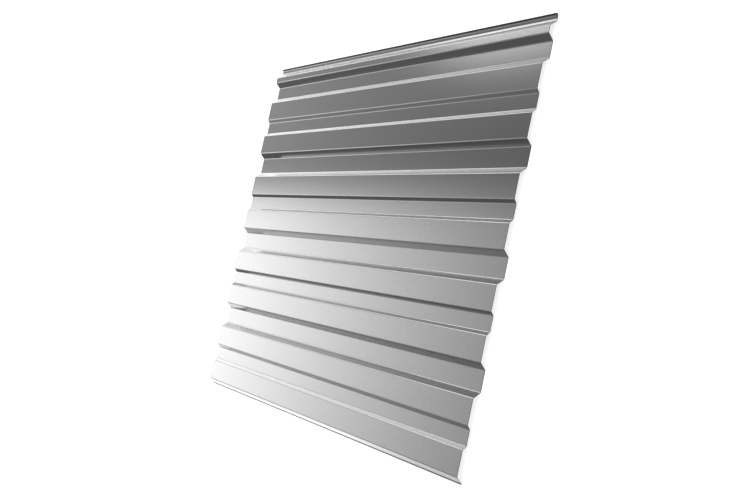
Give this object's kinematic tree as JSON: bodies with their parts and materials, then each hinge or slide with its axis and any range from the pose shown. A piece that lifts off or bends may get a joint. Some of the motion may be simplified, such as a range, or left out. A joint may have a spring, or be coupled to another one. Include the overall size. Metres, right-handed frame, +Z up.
{
  "type": "corrugated metal sheet",
  "caption": "Galvanised steel cladding sheet, roll formed into alternating deep and shallow trapezoidal troughs, with a hooked lap edge along one side.",
  "frame": {"origin": "middle of the sheet's outline, at the level of the surface it lies on", "axes": "+X along the ribs, +Y across the ribs towards the hooked lap edge, +Z up out of the outer face"},
  "size_m": [1.5, 1.1592, 0.019],
  "materials": {
    "galvanised_steel": "satin galvanised steel, fine grain, no paint"
  },
  "bodies": {
    "root": {"profiled_sheet": "galvanised_steel"}
  },
  "joints": []
}
